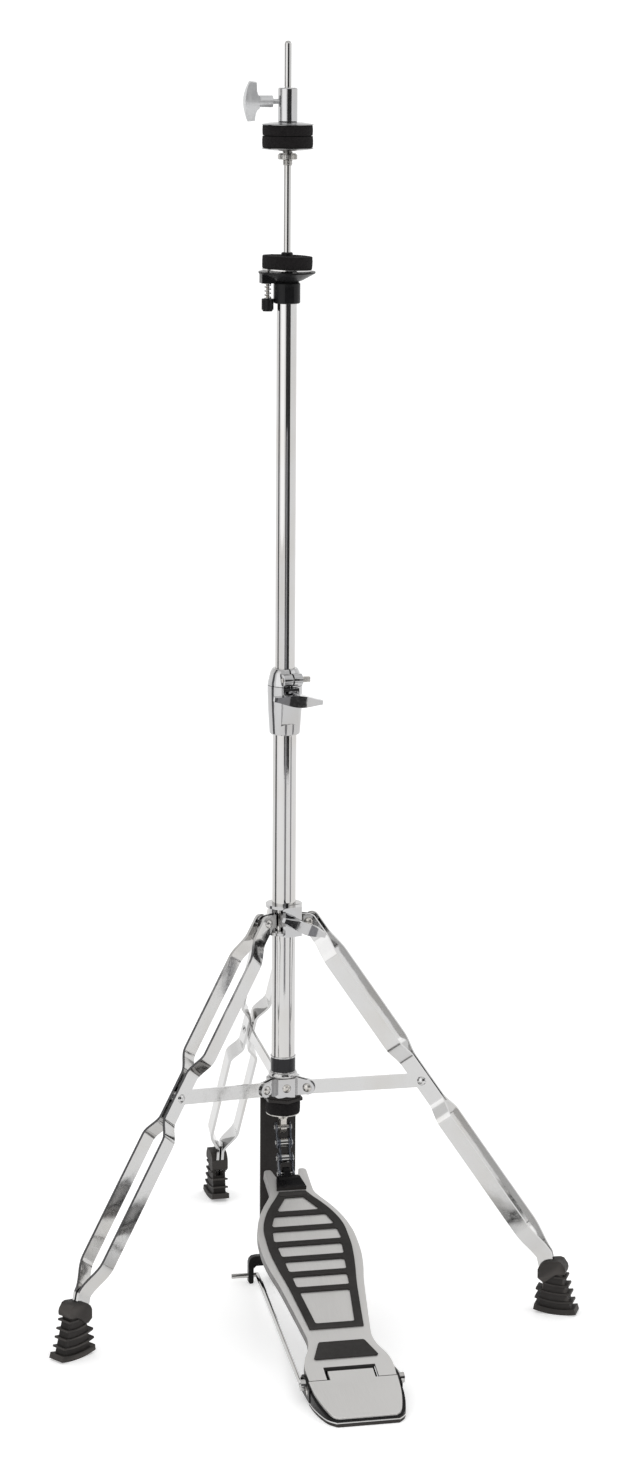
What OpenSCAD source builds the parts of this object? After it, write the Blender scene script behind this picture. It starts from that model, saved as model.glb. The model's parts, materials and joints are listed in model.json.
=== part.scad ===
// Hi-hat stand: chrome tubes, double-strip tripod legs, chain-driven pedal, clutch and tilting seat.
// The mast stands on the Z axis, the floor is z = 0 and the pedal points along -Y. Millimetres.

/* [Mast] */
// Outside diameter of the lower tube
lower_d = 19.05; // [18.9:0.05:19.2]
// Outside diameter of the upper tube
upper_d = 15.875; // [15.7:0.025:15.9]
// Wall thickness of both tubes
tube_wall = 1.2; // [1:0.05:1.22]
// Diameter of the pull rod above the clutch
rod_d = 5.5; // [5:0.1:5.6]
// Height of the tip of the pull rod
rod_top = 1003.9; // [995:0.1:1010]
// Height of the rim of the lower cymbal's cup
cup_z = 828; // [826:0.1:830]
// Height of the seam between the height clamp and its memory lock
seam_z = 501.6; // [495:0.1:510]

/* [Clutch] */
// Height of the top of the clutch barrel
clutch_z = 968.4; // [964:0.1:970]
// Diameter of the clutch barrel
barrel_d = 15.1; // [14:0.1:17]
// Diameter of the domed clutch washers
dome_d = 40; // [38:0.5:42]

/* [Legs] */
// Height of the leg pivots on the sliding collar
collar_z = 310.6; // [309:0.1:312]
// Radius of the leg pivots from the mast axis
collar_r = 22.2; // [22:0.1:23]
// Angle of the legs from the vertical
leg_angle = 36.82; // [36.5:0.01:37]
// Distance from a leg's pivot to its brace rivet
rivet_at = 157; // [150:0.5:160]
// Distance from a leg's pivot to the bend above its foot
bend_at = 328; // [326:0.5:330]
// Lean of the leg ends inside the feet, from the vertical
foot_lean = 13; // [10:0.5:16]
// Width of the leg strips
strip_w = 12.7; // [12:0.1:13]
// Thickness of the leg strips
strip_t = 2.3; // [2:0.1:2.4]
// Half of the spread between a leg's two strips
spread = 11.5; // [9:0.5:12]
// Turn of the tripod about the mast, relative to the pedal
leg_swivel = 2.44; // [0:0.01:5]

/* [Braces] */
// Height of the brace pivots on the hub
hub_z = 171; // [170.5:0.1:171.5]
// Radius of the brace pivots from the mast axis
hub_r = 21; // [20.8:0.1:21.2]
// Height of a brace strip
brace_h = 11.5; // [10:0.1:12]
// Thickness of a brace strip
brace_t = 2.2; // [2:0.1:2.2]

/* [Pedal] */
// Slope of the footboard at rest
board_tilt = 19.02; // [18:0.01:20]
// Length of the footboard from its heel seam to its prongs
board_len = 259.9; // [256:0.1:262]
// Thickness of the footboard plate
board_t = 2.2; // [1.8:0.1:2.5]
// Depth of the footboard's turned-down edge
flange_h = 6.5; // [5:0.1:7]
// Distance of the heel hinge in front of the mast
hinge_y = 254; // [253.5:0.1:254.5]
// Height of the heel hinge
hinge_z = 9.5; // [9.3:0.1:9.7]
// Pitch of the drive chain
pitch = 12.7; // [12.6:0.05:12.8]

/* [Hidden] */

ROUND = 64;          // sides shown on round parts
EPS = 0.5;           // how far a cutting tool runs past a face
RUN = 0.06;          // radial clearance of a part that slides or turns

CHROME = [0.78, 0.79, 0.80];
STEEL = [0.62, 0.62, 0.62];
BLACK = [0.10, 0.10, 0.11];
FELT = [0.05, 0.05, 0.05];
RUBBER = [0.16, 0.16, 0.17];
NYLON = [0.85, 0.84, 0.80];

// mast
lower_r = lower_d / 2;
upper_r = upper_d / 2;
lower_bore = lower_r - tube_wall;
rod_r = rod_d / 2;
tube_foot_z = 163.2;                 // bottom of the lower tube
lower_top_z = seam_z - 21.6;         // top of the lower tube, inside the clamp
clamp_low_z = seam_z - 39.2;
upper_low_z = 390;                   // bottom of the upper tube
holder_top_z = cup_z - 8.5;          // top of the cup's round holder
holder_low_z = cup_z - 24.6;
sleeve_top_z = cup_z + 14.8;

// clutch, downwards from the top of the barrel
barrel_r = barrel_d / 2;
barrel_low_z = clutch_z - 25.8;
dome_z = clutch_z - 28.3;            // rim of the upper dome
felt_split_z = clutch_z - 36.4;
felt_low_z = clutch_z - 45.6;
nut_top_z = clutch_z - 49.7;
nut_low_z = clutch_z - 54.5;
sleeve_low_z = clutch_z - 59;
wing_z = clutch_z - 10.4;
m8_r = 4;

// legs
LEFT = 210 + leg_swivel;
RIGHT = -30 + leg_swivel;
BACK = 90 + leg_swivel;
leg_hole_r = 2.05;
pin_r = 2;
collar_gap = 4.6;                    // strip centres from the leg's middle plane, at the collar
rivet_gap = brace_t / 2 + 0.2 + strip_t / 2;
bend_r = collar_r + bend_at * sin(leg_angle);
bend_z = collar_z - bend_at * cos(leg_angle);
rivet_r = collar_r + rivet_at * sin(leg_angle);
rivet_z = collar_z - rivet_at * cos(leg_angle);
brace_len = sqrt(pow(rivet_r - hub_r, 2) + pow(rivet_z - hub_z, 2));
brace_rise = atan2(rivet_z - hub_z, rivet_r - hub_r);
// each sideways bend of a strip: start, end, shift
bends = [
    [14, 36, spread - collar_gap],
    [118, 138, rivet_gap - spread],
    [176, 194, spread - rivet_gap],
    [300, bend_at, rivet_gap - 0.4 - spread]
];
foot_gap = rivet_gap - 0.4;
strip_tail = 30;                     // length of strip below the bend above the foot

// feet: arcs about one centre, in the leg's own plane
foot_c = [232, 70];
foot_r = 70;
fin_rs = [60, 53, 46.2, 39.2];

// clamp, lock and collar fittings
clamp_az = -85;
lock_az = -80;
collar_az = -75;

// pedal
seam_y = 253.3;                      // heel seam in front of the mast
seam_top_z = 16.7;                   // board surface at the seam
hinge_pin_r = 3;
knuckle_r = 4.6;
slot_w = 40.2;
tongue_w = 35;
// half widths of the board along its length
outline = [
    [1.2, 33.9], [10, 34.2], [18, 34], [27, 31.8], [37, 27.4], [47, 25.4], [60, 26.4], [110, 33.2],
    [130, 37], [145, 39.1], [158, 39.6], [172, 39.2], [181, 38], [192, 35.5], [204, 31.1],
    [214, 26.1], [222, 21.4], [229, 18.2], [236, 17.6]
];
mat_outline = [
    [59, 21.3], [80, 23.6], [110, 27.2], [130, 30.4], [145, 32.4], [158, 33.5], [172, 33.4],
    [182, 32.9], [192, 30.7], [204, 26], [214, 20.4], [222, 15.2], [229.5, 11]
];
// windows through the mat: low end, high end, half widths at each
windows = [
    [65.4, 103.4, 15.5, 19.6], [109.7, 122.4, 21, 21.8], [128.8, 141.2, 23.1, 23.8], [147.8, 160.3, 25.1, 25.8],
    [166.6, 179.3, 27.2, 26.3], [185.3, 198.3, 24.8, 21.6], [204.5, 221.7, 16.4, 8.3]
];
window_r = 1.8;                      // radius of their corners
mat_t = 1.2;
heel_w = [[-256, 35.6], [-270, 35.1], [-284, 33], [-296, 29.6], [-303, 24]];
cover_w = [[-252.6, 34.4], [-264, 33.6], [-278, 31.6], [-291, 28.6], [-297.5, 26], [-300.5, 22]];

// chain, from the clevis pin down to the toe pin
clevis_z = 135.2;
toe_y = 13;
chain_lean = asin(toe_y / (3 * pitch));
toe_pin_z = clevis_z - 3 * pitch * cos(chain_lean);
// the toe pin in the board's frame
toe_s = (seam_y - toe_y) * cos(board_tilt) + (toe_pin_z - seam_top_z) * sin(board_tilt);
toe_n = -(seam_y - toe_y) * sin(board_tilt) + (toe_pin_z - seam_top_z) * cos(board_tilt);
wire_r = 2;
wire_z = 6.5;
rod_eye = [-249, 13];                // Y and Z of the rods' rivets in the heel
strap_y = 18;

// seat tilter
tilt_x = 15.3;                       // screw, left of the mast
tilt_rest = 2;                       // slope of the washer at rest
tilt_edge = 20;                      // the washer rocks on this point of the rim, right of the mast
tilt_tip_z = cup_z + (tilt_x + tilt_edge) * tan(tilt_rest);

function ease(x) = x <= 0 ? 0 : x >= 1 ? 1 : x * x * (3 - 2 * x);
function ease_slope(x) = x <= 0 || x >= 1 ? 0 : 6 * x * (1 - x);
function total(v, i = 0) = i >= len(v) ? 0 : v[i] + total(v, i + 1);
// sideways place and slope of a strip's middle at distance u from the pivot
function strip_y(u) = collar_gap + total([for (b = bends) b[2] * ease((u - b[0]) / (b[1] - b[0]))]);
function strip_slope(u) =
    total([for (b = bends) b[2] / (b[1] - b[0]) * ease_slope((u - b[0]) / (b[1] - b[0]))]);
function strip_edge(u, off) =
    let (s = strip_slope(u), n = sqrt(1 + s * s)) [u - off * s / n, strip_y(u) + off / n];
// smooth curve through the points p, used for outlines
function curve(p, i, t) =
    let (
        a = p[max(i - 1, 0)], b = p[i], c = p[i + 1], d = p[min(i + 2, len(p) - 1)],
        m = (c - a) / 2, n = (d - b) / 2
    )
    b * (2 * t * t * t - 3 * t * t + 1) + m * (t * t * t - 2 * t * t + t)
    + c * (3 * t * t - 2 * t * t * t) + n * (t * t * t - t * t);
function smooth(p, steps = 4) =
    concat([for (i = [0 : len(p) - 2], k = [0 : steps - 1]) curve(p, i, k / steps)], [p[len(p) - 1]]);
function left_right(p) =
    concat([for (q = p) [q[1], q[0]]], [for (i = [len(p) - 1 : -1 : 0]) [-p[i][1], p[i][0]]]);

module ring(r_out, r_in, z_low, z_high) {
    translate([0, 0, z_low]) difference() {
        cylinder(r = r_out, h = z_high - z_low, $fn = ROUND);
        translate([0, 0, -EPS]) cylinder(r = r_in, h = z_high - z_low + 2 * EPS, $fn = ROUND);
    }
}

module bore(r, z_low, z_high) {
    translate([0, 0, z_low]) cylinder(r = r, h = z_high - z_low, $fn = ROUND);
}

// a rod of radius r along X between two places
module x_rod(r, x_low, x_high) {
    translate([x_low, 0, 0]) rotate([0, 90, 0]) cylinder(r = r, h = x_high - x_low, $fn = ROUND);
}

// a rod of radius r along Y, centred
module y_rod(r, length) {
    rotate([90, 0, 0]) cylinder(r = r, h = length, center = true, $fn = ROUND);
}

// a flat plate cut from the X-Z plane, w thick along Y
module side_plate(w) {
    rotate([90, 0, 0]) linear_extrude(height = w, center = true) children();
}

module turned(points) {
    rotate_extrude($fn = ROUND) polygon(points);
}

// a round wire between two points
module wire(a, b, r) {
    d = b - a;
    translate(a) rotate([0, acos(d[2] / norm(d)), atan2(d[1], d[0])]) cylinder(r = r, h = norm(d), $fn = 24);
}

// a coil about the Z axis, one polyhedron with a ring of points at each step
module coil(mean_r, wire_r, z_low, z_high, turns) {
    steps = 14;
    sides = 8;
    n = turns * steps;
    function ring_at(i) =
        let (a = 360 * i / steps, z = z_low + wire_r + (z_high - z_low - 2 * wire_r) * i / n)
        [for (k = [0 : sides - 1]) let (b = 360 * k / sides, r = mean_r + wire_r * cos(b))
            [r * cos(a), r * sin(a), z + wire_r * sin(b)]];
    points = [for (i = [0 : n]) each ring_at(i)];
    walls = [for (i = [0 : n - 1], k = [0 : sides - 1])
        [i * sides + k, i * sides + (k + 1) % sides, (i + 1) * sides + (k + 1) % sides, (i + 1) * sides + k]];
    polyhedron(points, concat(
        [[for (k = [sides - 1 : -1 : 0]) k]],
        walls,
        [[for (k = [0 : sides - 1]) n * sides + k]]
    ), convexity = 10);
}

// a wing screw along +X: thread, round hub, and blades that span Z, thick in the middle and thin at the tips
module wing_screw(tip_x, hub_x, span, thread_r, hub_r) {
    root_x = hub_x + 8;
    outer = hub_x + 22;
    half = span / 2;
    back = [0.28, 0.4, 0.55, 0.7, 0.85, 0.96];
    function back_x(n) = root_x + 5.2 - 2.8 * exp((0.28 - n) / 0.12);
    function half_t(n) = 1.7 + (hub_r - 1.7) * pow(cos(90 * n), 1.6);
    x_rod(thread_r, tip_x, hub_x + 1);
    x_rod(hub_r, hub_x, root_x + 3.5);
    intersection() {
        side_plate(2 * hub_r + 2) polygon(concat(
            [for (k = [-8 : 8]) [outer - 3.2 * k * k / 64, half * k / 8]],
            [for (k = [5 : -1 : 0]) [back_x(back[k]), half * back[k]]],
            [for (n = back) [back_x(n), -half * n]]
        ));
        rotate([90, 0, 90]) linear_extrude(height = outer + 2) polygon(concat(
            [for (k = [-8 : 8]) [half_t(k / 8), half * k / 8 * 1.02]],
            [for (k = [8 : -1 : -8]) [-half_t(k / 8), half * k / 8 * 1.02]]
        ));
    }
}

// ---- root: mast, hub, post, heel -------------------------------------------------------------

module lower_tube() {
    color(CHROME) ring(lower_r, lower_bore, tube_foot_z, lower_top_z);
}

module tube_band() {
    color(BLACK) union() {
        ring(lower_r + 0.75, lower_r + 0.03, 182.8, 183.5);
        ring(lower_r + 0.5, lower_r + 0.03, 183.5, 195.2);
        ring(lower_r + 0.75, lower_r + 0.03, 195.2, 196.2);
    }
}

module clamp_body() {
    front = 17.6;
    color(CHROME) difference() {
        union() {
            turned([
                [lower_r + 0.5, clamp_low_z], [11.6, clamp_low_z], [12.2, clamp_low_z + 1],
                [13.4, clamp_low_z + 19], [13.9, clamp_low_z + 34], [13.9, seam_z], [lower_r + 0.5, seam_z]
            ]);
            rotate([0, 0, clamp_az]) side_plate(13) polygon([
                [9, seam_z], [front - 0.6, seam_z], [front, seam_z - 2], [front, seam_z - 11],
                [13.4, clamp_low_z + 10], [9, clamp_low_z + 6]
            ]);
        }
        bore(lower_r + 0.02, clamp_low_z - EPS, seam_z + EPS);
        // recess around the wing screw, and its threaded hole
        rotate([0, 0, clamp_az]) {
            translate([front - 1.6, -4.6, seam_z - 11]) cube([3, 9.2, 8.6]);
            translate([0, 0, seam_z - 6.5]) x_rod(3 + RUN, 5, front);
        }
    }
}

module clamp_bush() {
    color(NYLON) difference() {
        bore(lower_r, lower_top_z, seam_z - 0.2);
        bore(upper_r + RUN, lower_top_z - EPS, seam_z + EPS);
        // gap that the wing screw's tip passes
        rotate([0, 0, clamp_az]) translate([0, 0, seam_z - 6.5]) x_rod(3.2, 5, 15);
    }
}

module hub_bracket() {
    color(STEEL) difference() {
        union() {
            rotate([0, 0, leg_swivel]) translate([0, 0, tube_foot_z])
                cylinder(r = 14, h = 15.7, $fn = 6);
            for (az = [LEFT, RIGHT, BACK], side = [-1, 1])
                rotate([0, 0, az]) translate([0, side * (brace_t / 2 + 1.05), 0]) side_plate(1.8) union() {
                    polygon([
                        [10.5, hub_z - 7.6], [hub_r - 2, hub_z - 6], [hub_r + 1, hub_z - 5.8],
                        [hub_r + 1, hub_z + 5.8], [hub_r - 3, hub_z + 6.4], [10.5, hub_z + 7.8]
                    ]);
                    translate([hub_r, hub_z]) circle(r = 6, $fn = ROUND);
                }
        }
        bore(lower_r + 0.02, tube_foot_z - EPS, tube_foot_z + 20);
        for (az = [LEFT, RIGHT, BACK]) rotate([0, 0, az]) {
            // slot for the brace and the bore for its rivet
            translate([13.2, -brace_t / 2 - 0.15, tube_foot_z - EPS]) cube([20, brace_t + 0.3, 20]);
            translate([hub_r, 0, hub_z]) y_rod(pin_r + 0.02, 12);
        }
    }
}

module hub_fasteners() {
    color(STEEL) {
        for (az = [LEFT, RIGHT, BACK]) rotate([0, 0, az]) translate([hub_r, 0, hub_z]) {
            y_rod(pin_r, 6.4);
            for (side = [-1, 1]) translate([0, side * 3.06, 0]) rotate([-90 * side, 0, 0]) dome(3.8, 1.9);
        }
        // socket screws in the hub's faces
        for (az = [LEFT, RIGHT, BACK]) rotate([0, 0, az + 60]) translate([12.13, 0, hub_z])
            rotate([0, 90, 0]) difference() {
                dome(3.6, 2);
                translate([0, 0, 0.8]) cylinder(r = 1.5, h = 2, $fn = 6);
            }
    }
}

// a rivet head standing on z = 0: a slice of a ball
module dome(r, h) {
    ball = (r * r + h * h) / (2 * h);
    intersection() {
        translate([0, 0, h - ball]) sphere(r = ball, $fn = ROUND);
        cylinder(r = r + 1, h = h + 1, $fn = ROUND);
    }
}

module hub_ring() {
    color(CHROME) turned([
        [lower_r + 0.03, 178.9], [11.4, 178.9], [11.8, 179.6], [11.8, 181], [10.9, 182.8], [lower_r + 0.03, 182.8]
    ]);
}

module rod_guide() {
    color(NYLON) ring(lower_bore - 0.05, m8_r + RUN, tube_foot_z, 175);
}

module post_strap() {
    web_w = 29.3;
    tongue = 10;
    color(BLACK) difference() {
        union() {
            rotate([0, 0, leg_swivel + 30]) translate([0, 0, 159.2]) cylinder(r = 16.6, h = 2.4, $fn = 6);
            rotate([0, 0, leg_swivel + 30]) translate([0, 0, 161]) cylinder(r = 14.6, h = 2.2, $fn = 6);
            translate([-web_w / 2, 0, 159.2]) cube([web_w, strap_y + 1, 2.4]);
            // web down to the base bridge, then a tongue bent under the mast
            translate([-web_w / 2, strap_y, 13.5]) cube([web_w, 2.5, 148.1]);
            translate([-tongue / 2, strap_y, 0]) cube([tongue, 2.5, 14]);
            translate([-tongue / 2, -3, 0]) cube([tongue, strap_y + 3.5, 2.6]);
        }
        bore(m8_r + 0.5, 150, 170);
    }
}

module base_bridge() {
    // the arch's right half, from its crown over the outside and back up the inside
    half = [
        [20.6, 23.4], [23.6, 22.8], [25.8, 20.8], [26.6, 18], [26.6, 1.2], [25.6, 0], [23.4, 0], [22.4, 1.2],
        [22.4, 12.8], [20.2, 15]
    ];
    color(BLACK) difference() {
        union() {
            translate([0, 9, 0]) side_plate(5.6)
                polygon(concat(half, [for (i = [9 : -1 : 0]) [-half[i][0], half[i][1]]]));
            // tab riveted to the strap
            translate([-11, 11, 15.6]) cube([22, strap_y - 11, 7.4]);
        }
        translate([0, 9, wire_z]) x_rod(wire_r + 0.02, -40, 40);
    }
}

module radius_rod(side) {
    bend = [side * 18.7, 9, wire_z];
    eye = [side * 39.1, rod_eye[0], rod_eye[1]];
    wire([side * 40.5, 9, wire_z], bend, wire_r);
    translate(bend) sphere(r = wire_r, $fn = 24);
    wire(bend, eye, wire_r);
    // flat eye and its rivet through the heel's cheek
    translate([0, eye[1], eye[2]]) mirror([side < 0 ? 1 : 0, 0, 0]) {
        x_rod(4.2, 36.35, 40.2);
        x_rod(1.5, 34.8, 38);
        translate([40.1, 0, 0]) rotate([0, 90, 0]) dome(2.8, 1.2);
    }
}

module radius_rods() {
    color(CHROME) {
        radius_rod(-1);
        radius_rod(1);
    }
}

// plan of the heel from its half widths, and a slice through it from the side
module heel_plan(widths, z_low, z_high) {
    p = smooth(widths, 3);
    translate([0, 0, z_low]) linear_extrude(height = z_high - z_low)
        polygon(left_right(p));
}

module x_slab(half) {
    rotate([90, 0, 90]) linear_extrude(height = 2 * half, center = true) children();
}

module heel_base() {
    color(BLACK) difference() {
        union() {
            intersection() {
                heel_plan(heel_w, 3.6, 20);
                x_slab(40) polygon([
                    [-260.5, 3.6], [-260.5, 12.5], [-263, 12.1], [-300, 4.6], [-303.2, 4.2], [-303.2, 3.6]
                ]);
            }
            // floor under the hinge, centre boss and side cheeks with the rods' ears
            translate([-34.6, -262, 3.6]) cube([69.2, 24, 0.8]);
            translate([0, -hinge_y, hinge_z]) x_rod(knuckle_r, -16.8, 16.8);
            translate([-16.8, -262, 3.6]) cube([33.6, 11, 5]);
            for (side = [-1, 1]) translate([side * 35.45, 0, 0]) x_slab(0.8) polygon([
                [-236, 3.6], [-234, 9], [-235.4, 15.4], [-239, 17.6], [-246, 17.8], [-254, 16],
                [-262, 13.6], [-262, 3.6]
            ]);
        }
        translate([0, -hinge_y, hinge_z]) x_rod(hinge_pin_r + 0.02, -40, 40);
        translate([0, rod_eye[0], rod_eye[1]]) x_rod(1.52, -40, 40);
    }
}

module heel_cover() {
    color(STEEL) union() {
        intersection() {
            heel_plan(cover_w, 4, 20);
            x_slab(40) polygon([
                [-252.6, 16.8], [-257, 15.4], [-262, 14.2], [-281, 10.4], [-297, 7.3], [-300.5, 6.2],
                [-300.5, 4.6], [-297, 5.4], [-281, 8.5], [-262, 12.3], [-252.6, 14.7]
            ]);
        }
        // tongue that fills the slot of the board
        board_frame() translate([-tongue_w / 2, -0.6, -2]) cube([tongue_w, 11.4, 1.8]);
    }
}

module heel_plate() {
    color(CHROME) union() {
        heel_plan([for (q = heel_w) [q[0] - 0.6, q[1] + 0.2]], 2.4, 3.6);
        translate([-34.6, -257, 2.4]) cube([69.2, 19, 1.2]);
    }
}

module heel_rubber() {
    color(RUBBER) union() {
        heel_plan([for (q = heel_w) [q[0] - 1.2, q[1] - 0.4]], 0, 2.4);
        translate([-34.2, -257.5, 0]) cube([68.4, 19, 2.4]);
    }
}

module heel_pin() {
    color(CHROME) translate([0, -hinge_y, hinge_z]) x_rod(hinge_pin_r, -36.2, 36.2);
}

// ---- pedal -----------------------------------------------------------------------------------

// board frame: Y runs up the board from the seam, Z is out of its top face
module board_frame() {
    translate([0, -seam_y, seam_top_z]) rotate([board_tilt, 0, 0]) children();
}

// half outline of the prongs, from the outer edge round the tip to the notch
prong = [
    [board_len - 2.4, 17.6], [board_len - 0.6, 16.6], [board_len, 15], [board_len, 12.4],
    [board_len - 0.8, 11.4], [250.6, 9.2], [248, 8], [247.4, 6.6]
];

module board_outline() {
    polygon(left_right(concat(smooth(outline), prong)));
}

// the space inside the turned-down edge, a wall of thickness d
module board_inside(d) {
    p = smooth(outline);
    n = len(p);
    inner = [for (i = [1 : n - 2])
        let (t = p[i + 1] - p[i - 1], u = t / norm(t)) p[i] + d * [u[1], -u[0]]];
    polygon(left_right(concat([[-2, inner[0][1]]], inner, [[board_len + 3, inner[len(inner) - 1][1]]])));
}

module footboard() {
    depth = flange_h - board_t;
    color(STEEL) difference() {
        union() {
            board_frame() difference() {
                translate([0, 0, -flange_h]) linear_extrude(height = flange_h) board_outline();
                translate([0, 0, -flange_h - EPS]) linear_extrude(height = depth + EPS) board_inside(1.9);
                // slot for the heel's tongue
                translate([-slot_w / 2, -2, -flange_h - EPS]) cube([slot_w, 17.2, flange_h + 2 * EPS]);
            }
            // flap bent down from the slot's far edge and back under the tongue
            board_frame() {
                translate([-slot_w / 2, 4, -5]) cube([slot_w, 13, 1.2]);
                translate([-slot_w / 2, 15.2, -5]) cube([slot_w, 1.8, 4]);
            }
            // knuckles of the heel hinge
            for (side = [-1, 1]) translate([side * 26.8, 0, 0]) x_slab(5.6) union() {
                translate([-hinge_y, hinge_z]) circle(r = knuckle_r, $fn = ROUND);
                polygon([[-254, 13.2], [-250.2, 15.4], [-245.4, 18], [-244.1, 14.6], [-250, 6.8]]);
            }
        }
        translate([0, -hinge_y, hinge_z]) x_rod(hinge_pin_r + RUN, -45, 45);
    }
}

module footboard_mat() {
    color(RUBBER) board_frame() difference() {
        linear_extrude(height = mat_t) polygon(left_right(smooth(mat_outline)));
        translate([0, 0, -EPS]) linear_extrude(height = mat_t + 2 * EPS) for (w = windows) hull()
            for (side = [-1, 1], end = [0, 1])
                translate([side * (w[2 + end] - window_r), w[end] + (1 - 2 * end) * window_r])
                    circle(r = window_r, $fn = 16);
    }
}

module heel_mat() {
    color(RUBBER) board_frame() linear_extrude(height = mat_t) polygon([
        [-23.9, 24], [23.9, 24], [25, 25.4], [18.4, 42.1], [17.2, 43.3], [-17.2, 43.3], [-18.4, 42.1], [-25, 25.4]
    ]);
}

module toe_clamp() {
    chord = [9.3, 12.3];
    color(BLACK) board_frame() difference() {
        union() {
            linear_extrude(height = 3) polygon([
                [-chord[1], 232], [chord[1], 232], [chord[0] + 0.4, 246.6], [chord[0] - 1, 248.2],
                [-chord[0] + 1, 248.2], [-chord[0] - 0.4, 246.6]
            ]);
            translate([-8, 244.4, 0]) intersection() {
                x_rod(3.8, 0, 16);
                translate([0, -5, 0]) cube([16, 12, 4]);
            }
            // eye that holds the chain's last pin with room to turn
            rotate([90, 0, 90]) linear_extrude(height = 5.6, center = true) union() {
                translate([toe_s, toe_n]) circle(r = 5.4, $fn = ROUND);
                polygon([[240, 0], [toe_s, 0.2], [toe_s, toe_n + 5.3], [246, 3], [240, 3]]);
            }
        }
        translate([0, toe_s, toe_n]) x_rod(pin_r + 1.4, -10, 10);
    }
}

// ---- pull rod and chain ----------------------------------------------------------------------

module clevis() {
    color(STEEL) difference() {
        union() {
            turned([[0, 147.5], [4.7, 147.5], [4.7, 145.6], [3.6, 142.6], [2.6, 140.4], [0, 140.4]]);
            rotate([90, 0, 90]) linear_extrude(height = 4.7, center = true) union() {
                translate([0, clevis_z]) circle(r = 4.7, $fn = ROUND);
                translate([-3.6, clevis_z]) square([7.2, 8]);
            }
        }
        translate([0, 0, clevis_z]) x_rod(pin_r + RUN, -10, 10);
    }
}

module bumper_washer() {
    color(CHROME) ring(13.6, m8_r + 0.02, 147.5, 148.3);
}

module bumper_felt() {
    color(FELT) difference() {
        turned([[0, 148.3], [12.6, 148.3], [13.9, 149.3], [14.3, 151], [14.3, 158.3], [13.8, 159], [0, 159]]);
        bore(m8_r + 0.05, 147, 160);
    }
}

module lower_rod() {
    color(STEEL) bore(m8_r, 147.5, 262);
}

module rod_coupler() {
    color(STEEL) difference() {
        union() {
            bore(7.6, 262, 266);
            translate([0, 0, 266]) cylinder(r = 5.8, h = 18, $fn = 6);
        }
        bore(rod_r + 0.02, 268, 285);
    }
}

module upper_rod() {
    // a fine ring marks the clutch's usual height
    color(CHROME) turned([
        [0, 268], [rod_r, 268], [rod_r, clutch_z + 0.2], [rod_r - 0.2, clutch_z + 0.3],
        [rod_r - 0.2, clutch_z + 0.9], [rod_r, clutch_z + 1], [rod_r, rod_top - 2.4],
        [rod_r - 0.5, rod_top - 1], [rod_r - 1.4, rod_top - 0.2], [0, rod_top]
    ]);
}

module pull_spring() {
    color(STEEL) coil(6.4, 0.9, 175, 262, 11);
}

// a chain plate in the Y-Z plane between two pins, drawn down from the first
module chain_plate(x, t) {
    translate([x, 0, 0]) rotate([90, 0, 90]) linear_extrude(height = t, center = true) union() {
        circle(r = 4.6, $fn = ROUND);
        translate([0, -pitch]) circle(r = 4.6, $fn = ROUND);
        translate([-3.4, -pitch]) square([6.8, pitch]);
    }
}

module chain_frame() {
    translate([0, 0, clevis_z]) rotate([-chain_lean, 0, 0]) children();
}

module chain_bores(r) {
    for (k = [0 : 3]) translate([0, 0, -k * pitch]) x_rod(r, -10, 10);
}

module chain_outer_plates() {
    color(STEEL) chain_frame() difference() {
        for (k = [0, 2], side = [-1, 1]) translate([0, 0, -k * pitch]) chain_plate(side * 5.6, 1.2);
        chain_bores(pin_r + 0.01);
    }
}

module chain_inner_plates() {
    color(STEEL) chain_frame() difference() {
        for (side = [-1, 1]) translate([0, 0, -pitch]) chain_plate(side * 3.9, 1.2);
        chain_bores(pin_r + 0.01);
    }
}

module chain_pins() {
    color(CHROME) chain_frame() for (k = [0 : 3]) translate([0, 0, -k * pitch]) {
        x_rod(pin_r, -7.4, 7.4);
        if (k == 1 || k == 2) x_rod(3.7, -3.2, 3.2);
    }
}

// ---- clutch ----------------------------------------------------------------------------------

module clutch_barrel() {
    color(STEEL) difference() {
        turned([
            [0, dome_z + 2.4], [6.4, dome_z + 2.4], [6.4, barrel_low_z], [barrel_r - 0.5, barrel_low_z],
            [barrel_r, barrel_low_z + 0.5], [barrel_r, clutch_z - 0.8], [barrel_r - 0.8, clutch_z], [0, clutch_z]
        ]);
        bore(rod_r + RUN, 900, 1000);
        bore(m8_r + 0.02, 900, barrel_low_z + 8);
        translate([0, 0, wing_z]) x_rod(1.9 + RUN, -20, 0);
    }
}

module clutch_sleeve() {
    color(CHROME) difference() {
        bore(m8_r, sleeve_low_z, barrel_low_z + 8);
        bore(rod_r + RUN + 0.03, 900, 1000);
    }
}

// domed washer: rim at z = 0, crown up
module dome_washer() {
    difference() {
        turned([
            [0, 0], [dome_d / 2, 0], [dome_d / 2, 0.7], [16, 1.5], [11, 2.1], [6.5, 2.4], [0, 2.4]
        ]);
        bore(m8_r + 0.02, -EPS, 5);
    }
}

module clutch_top_dome() {
    color(CHROME) translate([0, 0, dome_z]) dome_washer();
}

module clutch_bottom_dome() {
    color(CHROME) translate([0, 0, felt_low_z]) mirror([0, 0, 1]) dome_washer();
}

module clutch_felt(z_low, z_high, r) {
    difference() {
        turned([
            [0, z_low], [r - 0.7, z_low], [r, z_low + 0.7], [r, z_high - 0.7], [r - 0.7, z_high], [0, z_high]
        ]);
        bore(m8_r + 0.05, z_low - EPS, z_high + EPS);
    }
}

module clutch_felts() {
    color(FELT) {
        clutch_felt(felt_split_z + 0.05, dome_z, 19.7);
        clutch_felt(felt_low_z, felt_split_z, 19.9);
    }
}

module clutch_wing_bolt() {
    color(CHROME) translate([0, 0, wing_z]) rotate([-14, 0, 180])
        wing_screw(rod_r + 0.15, 12.2, 31, 1.9, 4.5);
}

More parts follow.
